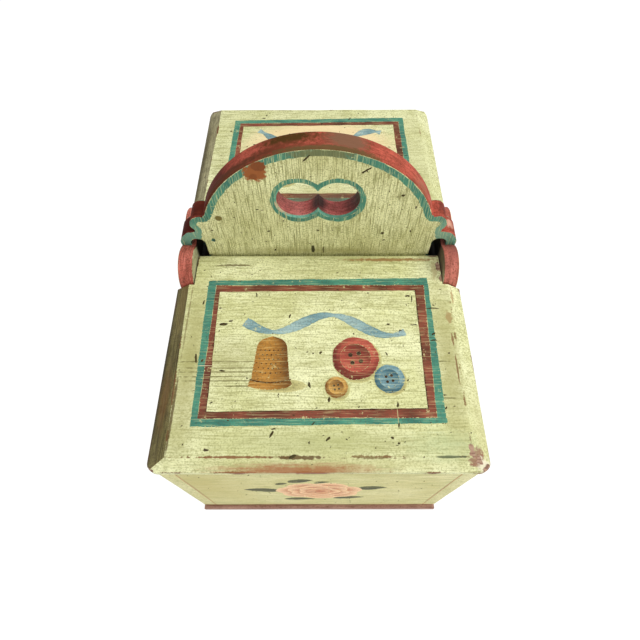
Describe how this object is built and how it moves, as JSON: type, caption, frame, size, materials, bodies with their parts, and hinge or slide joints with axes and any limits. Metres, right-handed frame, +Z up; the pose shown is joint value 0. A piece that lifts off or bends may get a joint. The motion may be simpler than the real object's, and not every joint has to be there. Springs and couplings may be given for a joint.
{
  "type": "sewing carrier with two lids",
  "caption": "Long wooden sewing box with an arched carrying board across the middle and a pin-hinged lid over the compartment on each side.",
  "frame": {"origin": "centre of the underside of the base board", "axes": "+X across the box to the right, +Y along the box to the back, +Z up"},
  "size_m": [0.254, 0.413, 0.3188],
  "materials": {
    "cream_paint": "worn cream-green paint on softwood",
    "red_paint": "worn brick-red paint on softwood",
    "iron": "dull dark iron"
  },
  "bodies": {
    "box": {"base_board": "red_paint", "front_wall": "cream_paint", "back_wall": "cream_paint", "left_wall": "cream_paint", "right_wall": "cream_paint", "handle_board": "cream_paint", "front_lid_pin_left": "iron", "front_lid_pin_right": "iron", "back_lid_pin_left": "iron", "back_lid_pin_right": "iron", "front_corner_nails": "iron", "back_corner_nails": "iron", "base_nails": "iron", "handle_board_nails": "iron"},
    "front_lid": {"front_lid": "cream_paint"},
    "back_lid": {"back_lid": "cream_paint"}
  },
  "joints": [
    {"name": "front_lid_hinge", "type": "hinge", "parent": "box", "child": "front_lid", "pos_m": [0, -0.023, 0.1943], "axis": [-1, 0, 0], "range_deg": [0, 92]},
    {"name": "back_lid_hinge", "type": "hinge", "parent": "box", "child": "back_lid", "pos_m": [0, 0.023, 0.1943], "axis": [1, 0, 0], "range_deg": [0, 92]}
  ]
}
